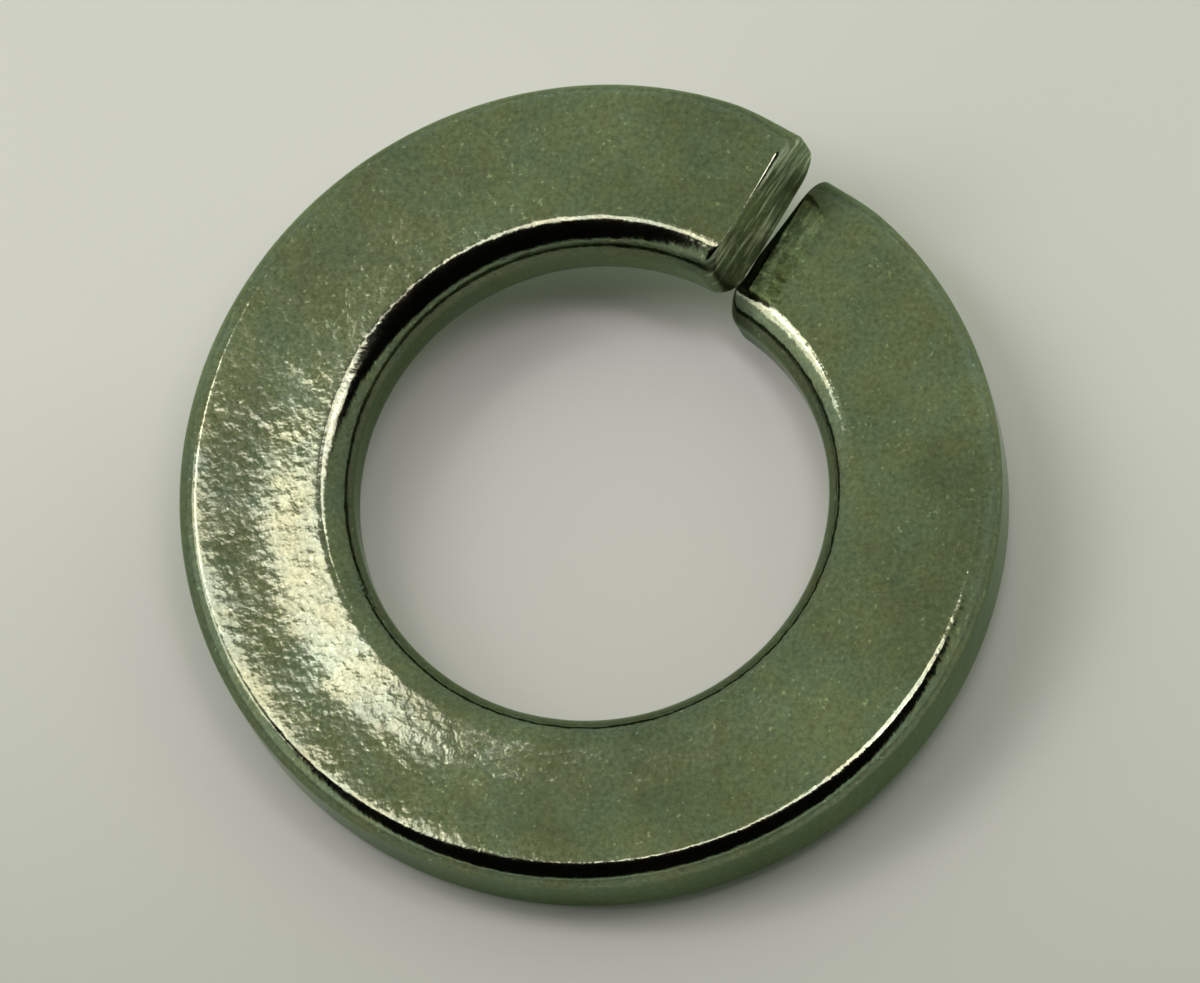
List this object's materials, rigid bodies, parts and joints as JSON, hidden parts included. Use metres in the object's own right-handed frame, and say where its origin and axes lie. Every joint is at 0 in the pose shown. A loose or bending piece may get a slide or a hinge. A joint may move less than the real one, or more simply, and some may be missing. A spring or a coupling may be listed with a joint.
{
  "type": "spring lock washer",
  "caption": "Split helical spring lock washer for a 10 mm bolt: one turn of flat plated spring steel whose cut ends stand apart in height.",
  "frame": {"origin": "on the bore axis, at the height of the lowest point of the coil", "axes": "+Z along the bore, out of the raised end's side; the split lies 57 degrees anticlockwise from +X seen from above, and the coil climbs clockwise"},
  "size_m": [0.018, 0.018, 0.0046],
  "materials": {
    "plated_steel": "satin"
  },
  "bodies": {
    "root": {"lock_washer": "plated_steel"}
  },
  "joints": []
}
